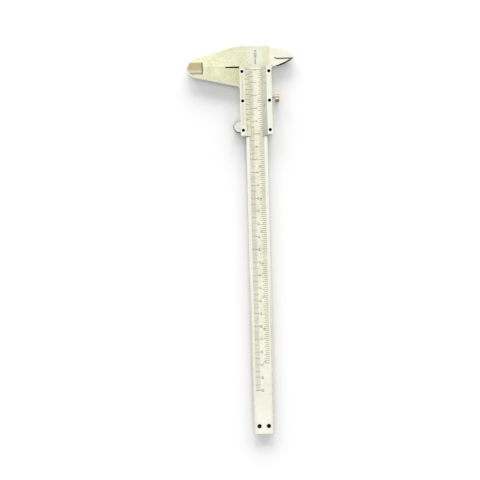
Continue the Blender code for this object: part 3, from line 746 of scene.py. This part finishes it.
def beam_shape(point):
    """Flares the relief hole and chamfers the fixed inside blade's lower edge, beside jaw_shape."""
    if point.z > BEAM_TOP - 0.02 and point.x > BLADE_START_X + 1:
        away = from_relief(point)
        if away < RELIEF_RADIUS + 0.05:
            grow = RELIEF_FLARE / away
            return (point.x + (point.x - RELIEF_HOLE[0]) * grow,
                    min(point.y + (point.y - RELIEF_HOLE[1]) * grow, point.y), point.z)
        if point.x > BLADE_CHAMFER_X and point.y < BLADE_MEASURING_Y - 1.7:
            share = min(1.0, (point.x - BLADE_CHAMFER_X) / 3)
            return (point.x, point.y + BLADE_CHAMFER * share, point.z)
    return jaw_shape(point)


def vernier_end(point):
    """Slants the end of a vernier's sloping face, by drawing its top back from the plate's end."""
    if point.y < VERNIER_END_Y and point.z > VERNIER_LOW + 0.02:
        return (point.x, point.y + VERNIER_END_SLANT, point.z)
    return (point.x, point.y, point.z)


def blade_region(centre, normal):
    """The index in the moving inside jaw's material list; its bevel is on its back."""
    # The relief hole's walls take painted shade.
    if from_relief(centre) < RELIEF_RADIUS + 0.3 and abs(normal.z) < 0.5:
        return 3
    if abs(normal.z) < 0.5:
        return 1
    return 2 if -0.98 < normal.z < 0 else 0


def vernier_region(centre, normal):
    """The index in a vernier plate's material list."""
    # The end wall of the sloping face takes painted shade.
    if normal.y < -0.5 and abs(centre.x) < RAIL_INNER_X:
        return 3
    if abs(normal.z) < 0.3:
        return 2
    if abs(centre.x) > RAIL_INNER_X and normal.z > 0.98:
        return 0
    return 1


refined("beam_body", "main_beam",
        [SATIN, BAND, STRIP, NIB_SHADED, BEVEL, WALL, DEEP_SHADE, BLADE, PAINTED_SHADE, HEAD_BAND,
         BEAM_EDGE_SHEEN_AND_WEAR],
        beam_region, ((0, BLADE_START_X), (1, BAND_TINT_Y)), 0.14, beam_shape)
refined("outside_jaw_body", "outside_jaw_plate",
        [JAW_LOW, NIB_LIT, WALL, DEEP_SHADE, PAINTED_SHADE, EDGE_SHEEN_AND_WEAR], jaw_region, (), 0.14, jaw_shape)
refined("inside_jaw_body", "inside_jaw_plate",
        [BLADE, WALL, BEVEL, PAINTED_SHADE, EDGE_SHEEN_AND_WEAR], blade_region)
refined("back_plate_body", "slider_back_plate", [SATIN, EDGE_SHEEN_AND_WEAR], one_region)
refined("metric_vernier_body", "metric_vernier_plate",
        [RAIL_LEFT, SLOPE_LEFT, WALL, DEEP_SHADE, EDGE_SHEEN_AND_WEAR], vernier_region, (), 0.12, vernier_end)
refined("inch_vernier_body", "inch_vernier_plate",
        [RAIL_RIGHT, SLOPE_RIGHT, WALL, PAINTED_SHADE, EDGE_SHEEN_AND_WEAR], vernier_region, (), 0.12, vernier_end)
for number in range(1, 7):
    refined(f"cover_screw_body_{number}", f"cover_screw_{number}",
            [BLACK, BLACK], one_region, (), 0.08)
for number in range(1, 5):
    refined(f"back_screw_body_{number}", f"back_screw_{number}",
            [GREY, EDGE_SHEEN_AND_WEAR], one_region, (), 0.08)
for place in ("left", "right"):
    refined(f"end_screw_body_{place}", f"end_plate_screw_{place}",
            [BLACK, BLACK_EDGE], one_region, (), 0.1)
refined("wheel_pin_body", "thumb_wheel_pin", [WHEEL_FACE, EDGE_SHEEN_AND_WEAR], one_region, (), 0.1)
refined("gib_body", "gib_strip", [GREY, EDGE_SHEEN_AND_WEAR], one_region, (), 0.05)
refined("depth_rod_body", "depth_rod", [GREY, EDGE_SHEEN_AND_WEAR], one_region, (), 0.12)
refined("rod_rivet_body", "depth_rod_rivet", [GREY, EDGE_SHEEN_AND_WEAR], one_region, (), 0.06)
refined("end_plate_body", "end_plate", [SATIN, EDGE_SHEEN_AND_WEAR], one_region, (), 0.12)


def wheel_profile(radius, low, high, bore):
    """Knurled rim with chamfers, a recessed web and a hub, round an open bore; bottom to top."""
    middle = (low + high) / 2
    side = [(bore, low + 0.15, 0.0, 0), (bore + 0.9, low + 0.15, 0.0, 0),
            (bore + 1.0, middle - 0.45, 0.0, 0), (radius - 1.35, middle - 0.45, 0.0, 0),
            (radius - 1.15, low + 0.1, 0.0, 0),
            (radius - 0.6, low, 0.1, 1), (radius - 0.12, low + 0.35, 1.0, 1)]
    other = [(r, low + high - h, share, 0) for r, h, share, _ in side[::-1]]
    other[0] = (*other[0][:3], 1)
    return side + other


def build_wheel():
    """The thumb wheel, a little smaller than the CAD's."""
    low, high = layout_box("thumb_wheel")
    centre = (low + high) / 2
    radius = (high.y - low.y) / 2 - WHEEL_UNDERSIZE
    profile = wheel_profile(radius, low.z, high.z, WHEEL_BORE)
    # The scallops' valleys take painted shade.
    wheel = knurled_turning("thumb_wheel_body", profile, WHEEL_SCALLOPS, WHEEL_SCALLOP_DEPTH,
                            (centre.x, centre.y, 0.0), "Z", [WHEEL_FACE, KNURL, PAINTED_SHADE],
                            "thumb_wheel", bored=True)
    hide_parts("thumb_wheel")


def build_knob():
    """Scalloped brass knob with rounded ends, on a stem with a fine thread."""
    low, high = layout_box("lock_screw")
    centre_y = (low.y + high.y) / 2
    centre_z = (low.z + high.z) / 2
    radius = (high.z - low.z) / 2
    start = KNOB_START_X
    end = high.x
    root = STEM_RADIUS - THREAD_DEPTH
    profile = [(0.1, low.x, 0.0, 1), (root, low.x + 0.02, 0.0, 1)]
    pitch = (start - 0.6 - low.x - 0.1) / THREAD_TURNS
    for i in range(THREAD_TURNS):
        x = low.x + 0.1 + pitch * i
        profile += [(STEM_RADIUS, x, 0.0, 1), (root, x + pitch / 2, 0.0, 1)]
    profile += [(STEM_RADIUS, start - 0.4, 0.0, 1), (STEM_RADIUS, start + 0.05, 0.0, 0)]
    for i in range(KNOB_RINGS + 1):
        angle = math.pi * (0.06 + 0.88 * i / KNOB_RINGS)
        x = (start + end) / 2 - (end - start) / 2 * math.cos(angle)
        bulge = math.sin(angle) ** 0.45
        profile.append((radius * (0.55 + 0.45 * bulge), x, bulge ** 3, 0))
    profile += [(radius * 0.42, end - 0.02, 0.0, 0), (radius * 0.36, end - 0.25, 0.0, 0),
                (0.1, end - 0.3, 0.0, 0)]
    # The knob's scallop valleys take painted shade.
    knob = knurled_turning("lock_knob_body", profile, KNOB_SCALLOPS, KNOB_SCALLOP_DEPTH,
                           (0.0, centre_y, centre_z), "X", [BRASS, GREY, BRASS_VALLEY_SHADE],
                           "lock_screw", 12, math.radians(KNOB_PHASE))
    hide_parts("lock_screw")


def add_box(name, low, high, materials, body):
    """A small rounded block between two corners in the layout."""
    shell = bmesh.new()
    size = Vector(high) - Vector(low)
    middle = at(*((Vector(low) + Vector(high)) / 2))
    matrix = Matrix.Translation(middle) @ Matrix.Diagonal((*size, 1.0))
    bmesh.ops.create_cube(shell, size=MM, matrix=matrix)
    mesh = bpy.data.meshes.new(name)
    shell.to_mesh(mesh)
    shell.free()
    obj = add_piece(name, mesh, materials, body)
    modifier = obj.modifiers.new("Rounded edges", "BEVEL")
    modifier.width = 0.04 * MM
    modifier.segments = 2


def build_slit_webs():
    """Dark webs that close the bottom of the relief slit, one on each jaw: sheets of painted shade
    that make the slit read black.
    """
    for name, side, body in (("slit_shade_web_fixed", 1, "beam"), ("slit_shade_web_moving", -1, "slider")):
        ends = sorted((SEAM_Y + side * 0.06, SEAM_Y + side * (SLIT_DEPTHS[side] + 0.08)))
        low = (SLIT_X[0] + 0.05, ends[0], SLIT_SHADE_WEB[0])
        high = (SLIT_X[1] - 0.05, ends[1], SLIT_SHADE_WEB[1])
        add_box(name, low, high, [DEEP_SHADE], body)


build_slit_webs()
build_wheel()
build_knob()
graduation("beam_metric_scale", metric_scale, INK, "beam")
graduation("beam_inch_scale", inch_scale, INK, "beam")
graduation("head_lettering", head_lettering, INK, "beam")
graduation("metric_vernier_scale", metric_vernier, BROWN_INK, "slider")
graduation("inch_vernier_scale", inch_vernier, FAINT_INK, "slider")


# ---------------------------------------------------------------- camera, floor and light


def build_camera():
    data = bpy.data.cameras.new("photo_camera")
    data.lens = LENS
    data.sensor_width = SENSOR
    data.clip_start = 0.01
    data.clip_end = 20
    camera = bpy.data.objects.new("photo_camera", data)
    camera.location = at(*VIEW_CENTRE, BEAM_TOP + VIEW_DISTANCE)
    camera.rotation_euler = (0.0, 0.0, ROLL)
    bpy.context.scene.collection.objects.link(camera)
    bpy.context.scene.camera = camera


def build_floor():
    """A large plain sheet of very pale matt board."""
    material, nodes, links = new_material("pale_board")
    shader = nodes["Principled BSDF"]
    fibre = noise(nodes, links, place_mm(nodes, links), 0.8, 4.0)
    level = map_range(nodes, links, fibre, 0.3, 0.7)
    colour = mix_colour(nodes, links, level, linear(204, 204, 205), linear(207, 207, 207))
    links.new(colour, shader.inputs["Base Color"])
    shader.inputs["Roughness"].default_value = 0.9
    shader.inputs["Specular IOR Level"].default_value = 0.1
    mesh = bpy.data.meshes.new("floor")
    shell = bmesh.new()
    bmesh.ops.create_grid(shell, x_segments=1, y_segments=1, size=2.0)
    shell.to_mesh(mesh)
    shell.free()
    mesh.materials.append(material)
    floor = bpy.data.objects.new("floor", mesh)
    bpy.context.scene.collection.objects.link(floor)


def build_sky():
    """A white studio dome, brightest overhead, and low down brighter beyond the beam's end."""
    world = bpy.context.scene.world or bpy.data.worlds.new("studio")
    bpy.context.scene.world = world
    world.use_nodes = True
    nodes = world.node_tree.nodes
    links = world.node_tree.links
    background = nodes["Background"]
    background.inputs["Color"].default_value = (1.0, 1.0, 1.0, 1.0)
    coordinates = nodes.new("ShaderNodeTexCoord")
    split = nodes.new("ShaderNodeSeparateXYZ")
    links.new(coordinates.outputs["Generated"], split.inputs[0])
    level = map_range(nodes, links, split.outputs["Z"], 0.0, 1.0, SKY_HORIZON, SKY_ZENITH)
    low = math_node(nodes, links, "SUBTRACT", 1.0, split.outputs["Z"])
    lean = math_node(nodes, links, "MULTIPLY", low, split.outputs["Y"])
    level = math_node(nodes, links, "MULTIPLY_ADD", lean, SKY_LEAN, level)
    links.new(level, background.inputs["Strength"])


def build_key_lights():
    """A wide soft light, low beyond the head, so that shadows fall down the beam.

    It is a fan of overlapping suns, each given as (turn to the side, share of the strength).
    """
    for turn, share in KEY_FAN:
        data = bpy.data.lights.new("key", "SUN")
        data.energy = KEY_STRENGTH * share
        data.angle = math.radians(KEY_SPREAD)
        light = bpy.data.objects.new("key", data)
        light.rotation_euler = (math.radians(-(90 - KEY_ELEVATION)), 0.0, math.radians(turn))
        light.visible_glossy = False
        bpy.context.scene.collection.objects.link(light)


build_camera()
build_floor()
build_sky()
build_key_lights()
bpy.context.scene.view_settings.view_transform = "Standard"
